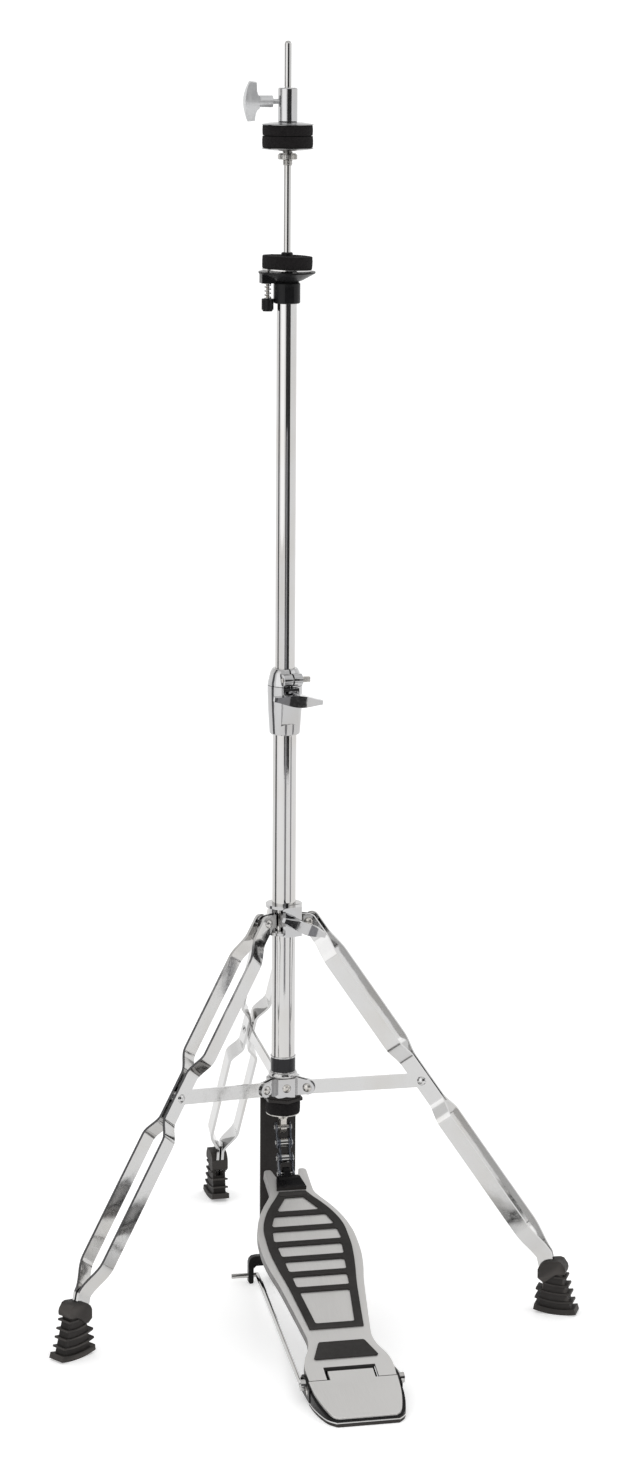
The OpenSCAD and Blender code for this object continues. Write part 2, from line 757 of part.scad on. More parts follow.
module clutch_nut() {
    knurls = 36;
    color(STEEL) difference() {
        turned([
            [0, nut_low_z], [7.1, nut_low_z], [7.6, nut_low_z + 0.5], [7.6, nut_top_z - 1.2],
            [6.6, nut_top_z - 0.8], [6.6, nut_top_z], [0, nut_top_z]
        ]);
        bore(m8_r + RUN, nut_low_z - EPS, nut_top_z + EPS);
        for (k = [0 : knurls - 1]) rotate([0, 0, 360 * k / knurls])
            translate([7.85, 0, nut_low_z - EPS]) cylinder(r = 0.5, h = 4.2, $fn = 4);
    }
}

// ---- upper tube and seat ---------------------------------------------------------------------

module upper_tube() {
    color(CHROME) ring(upper_r, upper_r - tube_wall, upper_low_z, holder_top_z - 1.5);
}

module seat_cup() {
    color(BLACK) difference() {
        union() {
            turned([
                [0, holder_low_z], [9.9, holder_low_z], [10.5, holder_low_z + 0.8], [10.5, holder_top_z - 0.8],
                [9.7, holder_top_z], [9, holder_top_z + 0.6], [12.4, holder_top_z + 1.8], [22.2, cup_z - 1.3],
                [22.2, cup_z], [21, cup_z], [10, cup_z - 2.2], [0, cup_z - 2.2]
            ]);
            // lug of the tilt screw under the rim, left of the mast
            translate([-20.8, -5.2, cup_z - 8.9]) cube([10.6, 10.4, 7.6]);
            translate([-12, -3.4, cup_z - 8.2]) cube([6, 6.8, 5]);
        }
        bore(upper_r + 0.02, 700, holder_top_z - 1.5);
        bore(4.62, 800, 900);
        translate([-tilt_x, 0, 0]) bore(1.5 + RUN, cup_z - 12, cup_z + 1);
        // panel sunk into the holder's front
        rotate([0, 0, -90]) translate([10, -3.4, holder_low_z + 0.8]) cube([2, 6.8, 12.6]);
    }
}

module seat_sleeve() {
    color(BLACK) difference() {
        union() {
            bore(upper_r - tube_wall - 0.05, holder_low_z - 12, holder_top_z - 1.6);
            bore(4.6, holder_top_z - 2, sleeve_top_z - 1);
            translate([0, 0, sleeve_top_z - 1]) cylinder(r1 = 4.6, r2 = 4, h = 1, $fn = ROUND);
        }
        bore(rod_r + RUN, 700, 900);
    }
}

// frame of the rocking seat: its washer's underside is z = 0 and the mast is on the Z axis at rest
module seat_frame() {
    translate([tilt_edge, 0, cup_z + 0.1]) rotate([0, tilt_rest, 0]) translate([-tilt_edge, 0, 0]) children();
}

module seat_washer() {
    color(CHROME) seat_frame() ring(19.9, 6.2, 0, 1.2);
}

module seat_felt() {
    color(FELT) seat_frame() difference() {
        turned([[0, 1.2], [19.3, 1.2], [19.8, 1.8], [19.8, 10.7], [19.1, 11.4], [0, 11.4]]);
        bore(6.9, 0, 20);
    }
}

module tilt_screw() {
    // pointed, so that the rocking washer rests on its middle
    color(STEEL) translate([-tilt_x, 0, 0]) turned([
        [0, cup_z - 26], [1.5, cup_z - 26], [1.5, tilt_tip_z - 0.9], [0.6, tilt_tip_z], [0, tilt_tip_z]
    ]);
}

module tilt_knob() {
    ribs = 14;
    top_z = cup_z - 20.9;
    color(BLACK) translate([-tilt_x, 0, top_z - 9.7]) difference() {
        union() {
            translate([0, 0, 1.2]) cylinder(r = 4.7, h = 8.5, $fn = ROUND);
            cylinder(r = 3.9, h = 1.4, $fn = ROUND);
        }
        for (k = [0 : ribs - 1]) rotate([0, 0, 360 * k / ribs]) translate([5, 0, 1]) bore(0.6, 0, 7.6);
        bore(1.5 + RUN, 4.6, 12);
    }
}

module tilt_spring() {
    color(CHROME) translate([-tilt_x, 0, 0]) coil(2.6, 0.35, cup_z - 20.9, cup_z - 8.9, 5);
}

// ---- clamp fittings --------------------------------------------------------------------------

module memory_lock() {
    top_z = seam_z + 13.8;
    lug_z = seam_z + 6.3;
    color(CHROME) difference() {
        union() {
            turned([
                [upper_r, seam_z + 0.3], [13.7, seam_z + 0.3], [13.5, seam_z + 3], [11.6, seam_z + 10.6],
                [10.2, top_z - 0.6], [9.6, top_z], [upper_r, top_z]
            ]);
            // two barrels of the clamping lugs
            rotate([0, 0, lock_az]) {
                translate([14.6, 0, lug_z]) y_rod(4.8, 15.6);
                translate([7, -7.8, lug_z - 4.3]) cube([8, 15.6, 8.6]);
            }
        }
        bore(upper_r + RUN, seam_z - EPS, top_z + EPS);
        // saw cut that lets the lock close on the tube
        rotate([0, 0, lock_az]) {
            translate([6, -0.6, seam_z - EPS]) cube([16, 1.2, 20]);
            translate([14.6, 0, lug_z]) y_rod(2 + RUN, 30);
        }
    }
}

module memory_bolt() {
    color(STEEL) rotate([0, 0, lock_az]) translate([14.6, 0, seam_z + 6.3]) {
        y_rod(2, 17);
        // square key head on the right
        translate([-2.1, 8.1, -2.1]) cube([4.2, 6.8, 4.2]);
    }
}

module height_wing_bolt() {
    color(CHROME) rotate([0, 0, clamp_az]) translate([0, 0, seam_z - 6.5]) rotate([84, 0, 0])
        wing_screw(upper_r + 0.25, 18.4, 40, 3, 4.7);
}

// ---- legs ------------------------------------------------------------------------------------

module leg_collar() {
    low_z = collar_z - 11.8;
    top_z = collar_z + 12.4;
    color(CHROME) difference() {
        union() {
            ring(14.7, lower_r, top_z - 2.4, top_z);
            ring(14.7, lower_r, low_z, low_z + 2.4);
            // web with a window at the front left
            difference() {
                ring(12.4, lower_r, low_z + 1, top_z - 1);
                rotate([0, 0, -121.5]) translate([4, -3.7, low_z + 3.2]) cube([12, 7.4, top_z - low_z - 6.4]);
            }
            // box that holds the wing screw
            rotate([0, 0, collar_az]) translate([8, -7.3, low_z]) cube([9.5, 14.6, top_z - low_z]);
            // pairs of ears for the legs
            for (az = [LEFT, RIGHT, BACK], side = [-1, 1]) rotate([0, 0, az])
                translate([0, side * 2.35, 0]) side_plate(1.7) union() {
                    translate([10.5, collar_z - 5.4]) square([collar_r - 10.5, 10.8]);
                    translate([collar_r, collar_z]) circle(r = 5.4, $fn = ROUND);
                }
        }
        bore(lower_r + RUN, low_z - EPS, top_z + EPS);
        rotate([0, 0, collar_az]) translate([0, 0, collar_z]) x_rod(3 + RUN, 5, 20);
        for (az = [LEFT, RIGHT, BACK]) rotate([0, 0, az]) translate([collar_r, 0, collar_z])
            y_rod(pin_r + 0.02, 12);
    }
}

module collar_pins() {
    outer = collar_gap + strip_t / 2;
    color(STEEL) for (az = [LEFT, RIGHT, BACK]) rotate([0, 0, az]) translate([collar_r, 0, collar_z]) {
        y_rod(pin_r, 2 * outer + 0.6);
        for (side = [-1, 1]) translate([0, side * (outer + 0.15), 0]) rotate([-90 * side, 0, 0]) dome(3.6, 2);
    }
}

module collar_wing_bolt() {
    color(CHROME) rotate([0, 0, collar_az]) translate([0, 0, collar_z]) rotate([66, 0, 0])
        wing_screw(lower_r + 0.2, 19, 40, 3, 4.7);
}

// frame of a leg: X runs down the leg from its pivot, Y is across the pair of strips
module leg_frame() {
    translate([collar_r, 0, collar_z]) rotate([0, 90 - leg_angle, 0]) children();
}

// frame of the strips' ends inside the foot
module tail_frame() {
    translate([bend_r, 0, bend_z]) rotate([0, 90 - foot_lean, 0]) children();
}

module strip(side) {
    steps = concat([0], [for (b = bends, k = [0 : 8]) b[0] + (b[1] - b[0]) * k / 8]);
    outer = [for (u = steps) strip_edge(u, strip_t / 2)];
    inner = [for (i = [len(steps) - 1 : -1 : 0]) strip_edge(steps[i], -strip_t / 2)];
    mirror([0, side < 0 ? 1 : 0, 0]) difference() {
        union() {
            leg_frame() {
                linear_extrude(height = strip_w, center = true) polygon(concat(outer, inner));
                translate([0, collar_gap, 0]) y_rod(strip_w / 2, strip_t);
                // rivet head
                translate([rivet_at, rivet_gap + strip_t / 2 - 0.1, 0]) rotate([-90, 0, 0]) dome(3.8, 2);
            }
            translate([bend_r, foot_gap, bend_z]) y_rod(strip_w / 2, strip_t);
            tail_frame() translate([0, foot_gap - strip_t / 2, -strip_w / 2]) cube([strip_tail, strip_t, strip_w]);
        }
        leg_frame() translate([0, collar_gap, 0]) y_rod(leg_hole_r, strip_t + 2);
    }
}

module leg(az) {
    color(CHROME) rotate([0, 0, az]) {
        strip(1);
        strip(-1);
    }
}

// a band of the rubber foot: radii about the foot's centre, kept between two slanted sides
module foot_band(r_low, r_high, sides) {
    intersection() {
        difference() {
            translate(foot_c) circle(r = r_high, $fn = 96);
            translate(foot_c) circle(r = r_low, $fn = 96);
        }
        polygon(sides);
    }
}

module foot(az) {
    core = [[215.4, 0], [218.8, 27], [220, 40], [233, 40], [234.3, 32], [243.4, 0]];
    reach = [[211, 0], [214.6, 22], [220, 40], [234, 40], [237.2, 33], [246.8, 0]];
    color(RUBBER) rotate([0, 0, az]) difference() {
        union() {
            side_plate(11) foot_band(0, foot_r - 3, core);
            side_plate(15.2) foot_band(foot_r - 4.6, foot_r, reach);
            for (k = [0 : 3]) side_plate(13.2) foot_band(fin_rs[k] - 0.8, fin_rs[k] + 0.8, [
                [k < 2 ? 211 : k == 2 ? 219 : 227, 0], [k < 2 ? 214.8 : k == 2 ? 221 : 228, 36],
                [236.6, 36], [246.4, 0]
            ]);
            // cap around the ends of the strips
            side_plate(14) polygon([
                [214.5, 29.6], [214.5, 37], [216, 40], [219, 42.6], [222, 43.6], [230.6, 44.8], [233.4, 44],
                [236.6, 39.6], [237.2, 36.8], [236.8, 34.4], [230, 33.6], [226, 31.6], [222, 27.6], [218.6, 26.4]
            ]);
        }
        // socket of the strips
        tail_frame() translate([-10, -foot_gap - strip_t / 2, -strip_w / 2])
            cube([strip_tail + 10.2, 2 * foot_gap + strip_t, strip_w]);
    }
}

module brace(az) {
    color(CHROME) rotate([0, 0, az]) translate([hub_r, 0, hub_z]) rotate([0, -brace_rise, 0]) difference() {
        side_plate(brace_t) union() {
            circle(r = brace_h / 2, $fn = ROUND);
            translate([0, -brace_h / 2]) square([brace_len, brace_h]);
            translate([brace_len, 0]) circle(r = brace_h / 2, $fn = ROUND);
        }
        y_rod(leg_hole_r, brace_t + 2);
        translate([brace_len, 0, 0]) y_rod(2.6, brace_t + 2);
    }
}

lower_tube();
tube_band();
clamp_body();
clamp_bush();
hub_bracket();
hub_fasteners();
hub_ring();
rod_guide();
post_strap();
base_bridge();
radius_rods();
heel_base();
heel_cover();
heel_plate();
heel_rubber();
heel_pin();
footboard();
footboard_mat();
heel_mat();
toe_clamp();
clevis();
lower_rod();
rod_coupler();
upper_rod();
bumper_felt();
bumper_washer();
pull_spring();
chain_outer_plates();
chain_inner_plates();
chain_pins();
clutch_barrel();
clutch_sleeve();
clutch_top_dome();
clutch_felts();
clutch_bottom_dome();
clutch_wing_bolt();
clutch_nut();
upper_tube();
seat_cup();
seat_sleeve();
seat_washer();
seat_felt();
tilt_screw();
tilt_knob();
tilt_spring();
memory_lock();
memory_bolt();
height_wing_bolt();
leg_collar();
collar_pins();
collar_wing_bolt();
leg(LEFT);  // leg_left
leg(RIGHT);  // leg_right
leg(BACK);  // leg_back
foot(LEFT);  // foot_left
foot(RIGHT);  // foot_right
foot(BACK);  // foot_back
brace(LEFT);  // brace_left
brace(RIGHT);  // brace_right
brace(BACK);  // brace_back
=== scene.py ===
"""A hi-hat stand: chrome mast and strip legs, black base and rubber feet, chain pedal, clutch and seat."""
import json
import math

import bmesh
import bpy
from mathutils import Matrix, Vector, noise

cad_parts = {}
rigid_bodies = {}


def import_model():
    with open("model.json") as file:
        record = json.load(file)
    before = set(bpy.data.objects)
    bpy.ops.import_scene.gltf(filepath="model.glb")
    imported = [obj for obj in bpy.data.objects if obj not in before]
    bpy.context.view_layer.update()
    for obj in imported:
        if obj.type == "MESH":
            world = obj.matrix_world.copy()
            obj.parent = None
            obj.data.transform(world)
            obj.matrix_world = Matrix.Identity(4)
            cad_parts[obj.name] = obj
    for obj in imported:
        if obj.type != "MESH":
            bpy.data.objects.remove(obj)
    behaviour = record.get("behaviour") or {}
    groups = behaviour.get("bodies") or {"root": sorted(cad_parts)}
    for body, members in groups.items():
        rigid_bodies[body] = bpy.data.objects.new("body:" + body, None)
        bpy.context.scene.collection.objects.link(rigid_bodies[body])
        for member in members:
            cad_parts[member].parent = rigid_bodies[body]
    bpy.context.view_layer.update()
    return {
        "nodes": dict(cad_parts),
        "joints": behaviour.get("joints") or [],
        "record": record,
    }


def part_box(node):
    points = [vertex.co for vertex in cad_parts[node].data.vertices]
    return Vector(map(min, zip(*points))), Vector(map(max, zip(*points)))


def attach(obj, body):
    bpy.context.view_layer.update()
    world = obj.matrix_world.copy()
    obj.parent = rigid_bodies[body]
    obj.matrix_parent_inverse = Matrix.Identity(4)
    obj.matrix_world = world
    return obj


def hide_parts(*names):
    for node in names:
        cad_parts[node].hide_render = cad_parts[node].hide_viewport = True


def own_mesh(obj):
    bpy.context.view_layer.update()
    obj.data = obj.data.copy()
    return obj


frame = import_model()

MM = 0.001
NODES = frame["nodes"]
BODY_OF = {node: body for body, members in frame["record"]["behaviour"]["bodies"].items() for node in members}
SLOT_OF = {part["node"]: part["material_slot"] for part in frame["record"]["subparts"]}
JOINTS = {joint["name"]: joint for joint in frame["joints"]}

# the footboard's own frame: from its seam with the heel cover, x across, y up the slope, z off its face
SEAM_Y = -253.3
SEAM_Z = 16.7
BOARD_SLOPE = 19.02
BOARD_FRAME = (
    Matrix.Translation((0, SEAM_Y * MM, SEAM_Z * MM)) @ Matrix.Rotation(math.radians(BOARD_SLOPE), 4, "X")
)

# the lower cymbal seat's own frame: it rocks on the rim of the cup, and at rest lies two degrees off level
RIM = JOINTS["seat_tilt"]["pos_m"]
REST_TILT = 2
SEAT_FRAME = (
    Matrix.Translation(RIM)
    @ Matrix.Rotation(math.radians(REST_TILT), 4, "Y")
    @ Matrix.Translation((-RIM[0], 0, 0))
)

# upright axes that threads and springs stand on: the mast, and the seat's tilt screw beside it
MAST_X = 0
SCREW_X = round(JOINTS["tilt_knob_turn"]["pos_m"][0] / MM, 4)

# ---- materials ---------------------------------------------------------------------------------


class Shader:
    """A Principled material and the few node chains that the finishes below need."""

    def __init__(self, name, base, metallic=0.0, roughness=0.5):
        self.material = bpy.data.materials.new(name)
        self.material.use_nodes = True
        self.tree = self.material.node_tree
        self.bsdf = self.tree.nodes["Principled BSDF"]
        self.set("Base Color", (*base, 1))
        self.set("Metallic", metallic)
        self.set("Roughness", roughness)
        self.coords = self.tree.nodes.new("ShaderNodeTexCoord").outputs["Object"]
        self.height = None

    def set(self, socket, value):
        self.bsdf.inputs[socket].default_value = value

    def noise(self, scale, detail=3.0, stretch=(1, 1, 1), distortion=0.0):
        """Fractal noise from 0 to 1: scale in cycles per metre, drawn out along an axis of small stretch."""
        mapping = self.tree.nodes.new("ShaderNodeMapping")
        mapping.inputs["Scale"].default_value = stretch
        self.tree.links.new(self.coords, mapping.inputs["Vector"])
        texture = self.tree.nodes.new("ShaderNodeTexNoise")
        texture.inputs["Scale"].default_value = scale
        texture.inputs["Detail"].default_value = detail
        texture.inputs["Distortion"].default_value = distortion
        self.tree.links.new(mapping.outputs["Vector"], texture.inputs["Vector"])
        return texture.outputs["Fac"]

    def span(self, value, low, high, start=0.3, end=0.7):
        """value from start..end spread over low..high."""
        node = self.tree.nodes.new("ShaderNodeMapRange")
        node.inputs["From Min"].default_value = start
        node.inputs["From Max"].default_value = end
        node.inputs["To Min"].default_value = low
        node.inputs["To Max"].default_value = high
        self.tree.links.new(value, node.inputs["Value"])
        return node.outputs["Result"]

    def rough(self, value, low, high):
        """The roughness follows value, from low to high."""
        self.tree.links.new(self.span(value, low, high), self.bsdf.inputs["Roughness"])

    def tint(self, value, other, start=0.3, end=0.7):
        """The base colour drifts towards other where value is high."""
        mix = self.tree.nodes.new("ShaderNodeMix")
        mix.data_type = "RGBA"
        mix.inputs["A"].default_value = self.bsdf.inputs["Base Color"].default_value
        mix.inputs["B"].default_value = (*other, 1)
        if self.bsdf.inputs["Base Color"].links:
            self.tree.links.new(self.bsdf.inputs["Base Color"].links[0].from_socket, mix.inputs["A"])
        self.tree.links.new(self.span(value, 0, 1, start, end), mix.inputs["Factor"])
        self.tree.links.new(mix.outputs["Result"], self.bsdf.inputs["Base Color"])

    def bump(self, value, depth):
        """A relief of that depth in metres."""
        node = self.tree.nodes.new("ShaderNodeBump")
        node.inputs["Distance"].default_value = depth
        self.tree.links.new(value, node.inputs["Height"])
        if self.height:
            self.tree.links.new(self.height, node.inputs["Normal"])
        self.height = node.outputs["Normal"]
        self.tree.links.new(self.height, self.bsdf.inputs["Normal"])

    def edges(self):
        """1 on sharp outer edges, 0 elsewhere."""
        node = self.tree.nodes.new("ShaderNodeNewGeometry")
        return self.span(node.outputs["Pointiness"], 0, 1, 0.53, 0.62)


def shaded(colour, red, green, blue):
    """The colour with each channel times its factor."""
    return tuple(min(1, channel * factor) for channel, factor in zip(colour, (red, green, blue)))


def chrome(name, base, low, high, ripple=0.0, ripple_scale=45):
    """Plating with a faint warm clouding; low and high bound its roughness, and castings ripple a little."""
    s = Shader(name, base, 1.0)
    s.rough(s.noise(420, 5), low, high)
    s.tint(s.noise(26, 2), shaded(base, 0.95, 0.93, 0.9), 0.45, 0.75)
    if ripple:
        s.bump(s.noise(ripple_scale, 1), ripple)
    return s.material


def brushed(name, base, along, low, high):
    """Brushed metal under satin lacquer, with fine streaks: along is the noise's stretch on each axis."""
    s = Shader(name, base, 0.6)
    s.set("Anisotropic", 0.45)
    streaks = s.noise(260, 4, along)
    s.rough(streaks, low, high)
    s.tint(s.noise(900, 3, along), shaded(base, 0.84, 0.84, 0.84))
    s.tint(s.noise(14, 2), shaded(base, 0.94, 0.94, 0.94))
    s.bump(streaks, 0.000012)
    return s.material


def zinc(name, base, low=0.18, high=0.34):
    """Zinc plate: duller than chrome, mottled yellow, with a fine grain."""
    s = Shader(name, base, 1.0)
    s.rough(s.noise(300, 4), low, high)
    s.tint(s.noise(60, 3), shaded(base, 0.9, 0.87, 0.82))
    s.bump(s.noise(1500, 2), 0.000003)
    return s.material


def powder_coat(name, base):
    """Satin black paint with a fine orange peel, rubbed paler on its edges."""
    s = Shader(name, base)
    s.set("Specular IOR Level", 0.07)
    s.rough(s.noise(500, 3), 0.2, 0.32)
    s.tint(s.edges(), (0.03, 0.028, 0.027), 0, 1)
    s.bump(s.noise(900, 2), 0.00003)
    return s.material


def rubber(name, base, worn, low, high):
    """Matt rubber that goes towards the worn colour in patches and past it on its edges."""
    s = Shader(name, base)
    s.set("Specular IOR Level", 0.15)
    s.rough(s.noise(240, 4), low, high)
    s.tint(s.noise(38, 4), worn)
    s.tint(s.edges(), shaded(worn, 1.7, 1.7, 1.7), 0, 1)
    s.bump(s.noise(1300, 3), 0.00004)
    return s.material


def felt(name):
    """Black wool felt: pale fibres matted flat, and a little sheen."""
    s = Shader(name, (0.006, 0.0055, 0.006), 0.0, 1.0)
    s.set("Specular IOR Level", 0.05)
    s.set("Sheen Weight", 0.06)
    s.set("Sheen Roughness", 0.6)
    s.set("Sheen Tint", (0.45, 0.44, 0.45, 1))
    s.tint(s.noise(2600, 4, (1, 1, 2.5), 0.8), (0.032, 0.029, 0.028), 0.48, 0.72)
    s.tint(s.noise(500, 2), (0.014, 0.013, 0.013), 0.45, 0.8)
    s.bump(s.noise(3200, 4, (1, 1, 2.2), 1.2), 0.00022)
    return s.material


def moulded(name, base, low, high, grain=0.00001):
    """Moulded plastic with a fine grain of that depth in metres."""
    s = Shader(name, base)
    s.set("Specular IOR Level", 0.15)
    s.rough(s.noise(350, 3), low, high)
    s.tint(s.noise(60, 2), shaded(base, 1.25, 1.25, 1.25))
    s.bump(s.noise(2200, 2), grain)
    return s.material


# how brushed streaks are drawn out along X, Y and Z: along the board, and up the clutch's wing
ALONG_BOARD = (6, 0.12, 0.12)
UP_WING = (1, 1, 0.3)
MATERIALS = {
    "chrome_tube": chrome("chrome_tube", (0.565, 0.56, 0.555), 0.03, 0.06),
    "chrome_strip": chrome("chrome_strip", (0.55, 0.548, 0.545), 0.06, 0.13, 0.0003),
    # painted shade: chrome at a fraction of its brightness, so that the clutch's domes come out grey
    "chrome_dome_painted_shade": chrome("chrome_dome_painted_shade", (0.20, 0.20, 0.202), 0.12, 0.2),
    "chrome_cast": chrome("chrome_cast", (0.47, 0.47, 0.475), 0.05, 0.11, 0.00012, 90),
    "bright_rod": chrome("bright_rod", (0.48, 0.476, 0.47), 0.06, 0.11),
    "zinc_steel": zinc("zinc_steel", (0.56, 0.55, 0.535)),
    "board_steel": brushed("board_steel", (0.68, 0.67, 0.655), ALONG_BOARD, 0.28, 0.44),
    # painted shade: a darker copy of the board's brushed steel, for the dark reflection on the board's
    # turned-down edge
    "board_edge_painted_shade": brushed("board_edge_painted_shade", (0.15, 0.145, 0.142), ALONG_BOARD, 0.3, 0.45),
    "black_steel": powder_coat("black_steel", (0.0035, 0.0035, 0.004)),
    "black_plastic": moulded("black_plastic", (0.006, 0.006, 0.0065), 0.25, 0.4),
    "black_rubber": rubber("black_rubber", (0.022, 0.020, 0.019), (0.033, 0.030, 0.028), 0.5, 0.7),
    "grey_rubber": rubber("grey_rubber", (0.020, 0.019, 0.018), (0.030, 0.028, 0.027), 0.5, 0.7),
    "black_felt": felt("black_felt"),
    "nylon": moulded("nylon", (0.78, 0.75, 0.68), 0.35, 0.5),
    "dark_label": moulded("dark_label", (0.018, 0.018, 0.02), 0.12, 0.22, 0.000002),
    "chain_steel": zinc("chain_steel", (0.13, 0.142, 0.17), 0.16, 0.3),
    "nut_steel": zinc("nut_steel", (0.40, 0.395, 0.385), 0.2, 0.34),
    "satin_cast": brushed("satin_cast", (0.58, 0.585, 0.59), UP_WING, 0.3, 0.42),
}

# ---- building ----------------------------------------------------------------------------------


def piece(name, mesh, node, material=None):
    """A mesh that stands for a CAD node and rides on its body."""
    obj = bpy.data.objects.new(name, mesh)
    bpy.context.scene.collection.objects.link(obj)
    mesh.materials.clear()
    mesh.materials.append(MATERIALS[material or SLOT_OF[node]])
    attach(obj, BODY_OF[node])
    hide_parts(node)
    return obj


def weighted(obj):
    """Flat faces stay flat, and the roundings between them take the bend."""
    modifier = obj.modifiers.new("even_normals", "WEIGHTED_NORMAL")
    modifier.keep_sharp = True
    modifier.weight = 80


def clean_copy(node):
    """The CAD node's mesh with its seams closed and its flat faces whole."""
    bm = bmesh.new()
    bm.from_mesh(NODES[node].data)
    bmesh.ops.remove_doubles(bm, verts=bm.verts, dist=2e-6)
    bmesh.ops.dissolve_limit(
        bm, angle_limit=math.radians(0.4), verts=bm.verts, edges=bm.edges, use_dissolve_boundaries=False
    )
    bmesh.ops.recalc_face_normals(bm, faces=bm.faces)
    return bm


def to_mesh(bm, name, sharp=40):
    """A mesh from the bmesh, shaded smooth but for edges that bend by more than sharp, in degrees."""
    for face in bm.faces:
        face.smooth = True
        face.material_index = 0
    for edge in bm.edges:
        edge.smooth = not (edge.is_manifold and edge.calc_face_angle(0) > math.radians(sharp))
    mesh = bpy.data.meshes.new(name)
    bm.to_mesh(mesh)
    bm.free()
    # what is left of the CAD mesh's own shading
    for layer in ("custom_normal", "sharp_face"):
        if layer in mesh.attributes:
            mesh.attributes.remove(mesh.attributes[layer])
    return mesh


def polish(node, width, material=None):
    """A CAD node with the edges that bend by over 32 degrees rounded by width, in millimetres."""
    bm = clean_copy(node)
    if width:
        least_bend = math.radians(32)
        least_length = 0.2 * width * MM
        corners = [
            edge for edge in bm.edges
            if edge.is_manifold and edge.calc_face_angle(0) > least_bend and edge.calc_length() > least_length
        ]
        bmesh.ops.bevel(
            bm, geom=corners, offset=width * MM, offset_type="OFFSET", segments=2, profile=0.5,
            affect="EDGES", clamp_overlap=True,
        )
    obj = piece(node + "_finish", to_mesh(bm, node + "_finish"), node, material)
    weighted(obj)
    return obj


# how far each piece's edges are rounded, in millimetres
ROUND_EDGE = {
    "clamp_body": 0.6, "hub_bracket": 0.35, "hub_fasteners": 0.15, "post_strap": 0.5, "base_bridge": 0.7,
    "radius_rods": 0.3, "heel_base": 0.35, "heel_cover": 0.35, "heel_plate": 0.3, "heel_rubber": 0.5,
    "heel_pin": 0.4, "footboard": 0.45, "footboard_mat": 0.35, "heel_mat": 0.35, "toe_clamp": 0.5,
    "clevis": 0.3, "chain_outer_plates": 0.25, "chain_inner_plates": 0.25, "chain_pins": 0.3,
    "clutch_wing_bolt": 0.5, "clutch_nut": 0.2, "seat_cup": 0.4, "tilt_knob": 0.3, "memory_lock": 0.5,
    "memory_bolt": 0.25, "height_wing_bolt": 0.5, "leg_collar": 0.4, "collar_pins": 0.15,
    "collar_wing_bolt": 0.5, "leg_left": 0.35, "leg_right": 0.35, "leg_back": 0.35,
    "foot_left": 0.5, "foot_right": 0.5, "foot_back": 0.5,
    "brace_left": 0.3, "brace_right": 0.3, "brace_back": 0.3,
    "lower_tube": 0.2, "tube_band": 0.12, "hub_ring": 0.3, "upper_tube": 0.2, "upper_rod": 0,
    "lower_rod": 0.3, "rod_coupler": 0.3, "bumper_washer": 0.15, "seat_sleeve": 0.3, "seat_washer": 0.2,
    "clutch_barrel": 0.3, "clutch_top_dome": 0.2, "clutch_bottom_dome": 0.2, "clamp_bush": 0.2,
    "rod_guide": 0.3,
}

# pieces whose finish isn't quite that of their slot; the clutch's domes get a darkened chrome that is painted
# shade
FINISH = {
    "chain_outer_plates": "chain_steel", "chain_inner_plates": "chain_steel", "clutch_nut": "nut_steel",
    "clutch_top_dome": "chrome_dome_painted_shade", "clutch_bottom_dome": "chrome_dome_painted_shade", "seat_washer": "chrome_strip",
    "clutch_wing_bolt": "satin_cast",
}


def upright(node, x):
    """Outer radius, foot and top of a round node that stands on the axis at x, in millimetres."""
    low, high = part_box(node)
    return round(high[0] / MM, 4) - x, round(low[2] / MM, 4), round(high[2] / MM, 4)


def around(x, z, radii):
    """A level ring of points about the axis at x, one for each radius."""
    step = 2 * math.pi / len(radii)
    return [(x + r * math.cos(k * step), r * math.sin(k * step), z) for k, r in enumerate(radii)]


def add_skin(bm, rows, closed, place=None):
    """Adds rings of points, in millimetres, joined into a skin: closed joins the last to the first, else both
    end rings get caps. place moves the skin from its own frame."""
    rings = [[bm.verts.new([c * MM for c in point]) for point in row] for row in rows]
    for low, high in zip(rings, rings[1:] + rings[:1] if closed else rings[1:]):
        for k in range(len(low)):
            n = (k + 1) % len(low)
            bm.faces.new((low[k], low[n], high[n], high[k]))
    if not closed:
        bm.faces.new(rings[0][::-1])
        bm.faces.new(rings[-1])
    if place:
        bmesh.ops.transform(bm, matrix=place, verts=[vert for ring in rings for vert in ring])


def finished(bm, node, sharp, material=None):
    """The bmesh as the piece that stands for a node."""
    bmesh.ops.recalc_face_normals(bm, faces=bm.faces)
    return piece(node + "_finish", to_mesh(bm, node + "_finish", sharp), node, material)


def thread_depth(z, angle, pitch):
    """0 on a thread's crest to 1 in its root."""
    phase = (z / pitch - angle / (2 * math.pi)) % 1
    return min(1.0, max(0.0, 2.6 * abs(phase - 0.5) - 0.2))


def threaded(node, x, bore, pitch, thread_to, top=None):
    """A rod, or a sleeve with a bore, that has a thread up to thread_to and a tapered lead at its foot."""
    sides = 48
    rows_a_turn = 8
    radius, low, high = upright(node, x)
    high = top or high
    depth = 0.5 * pitch
    count = math.ceil((thread_to - low) / (pitch / rows_a_turn))
    rows = []
    for row in range(count + 1):
        z = low + (thread_to - low) * row / count
        lead = 0.4 * max(0.0, 0.65 - (z - low) / pitch)
        cuts = [thread_depth(z, 2 * math.pi * k / sides, pitch) + lead for k in range(sides)]
        rows.append(around(x, z, [radius - depth * cut for cut in cuts]))
    rows += [around(x, z, [radius] * sides) for z in (thread_to + 0.01, high)]
    if bore:
        rows += [around(x, z, [bore] * sides) for z in (high, low)]
    bm = bmesh.new()
    add_skin(bm, rows, closed=bool(bore))
    weighted(finished(bm, node, 50))


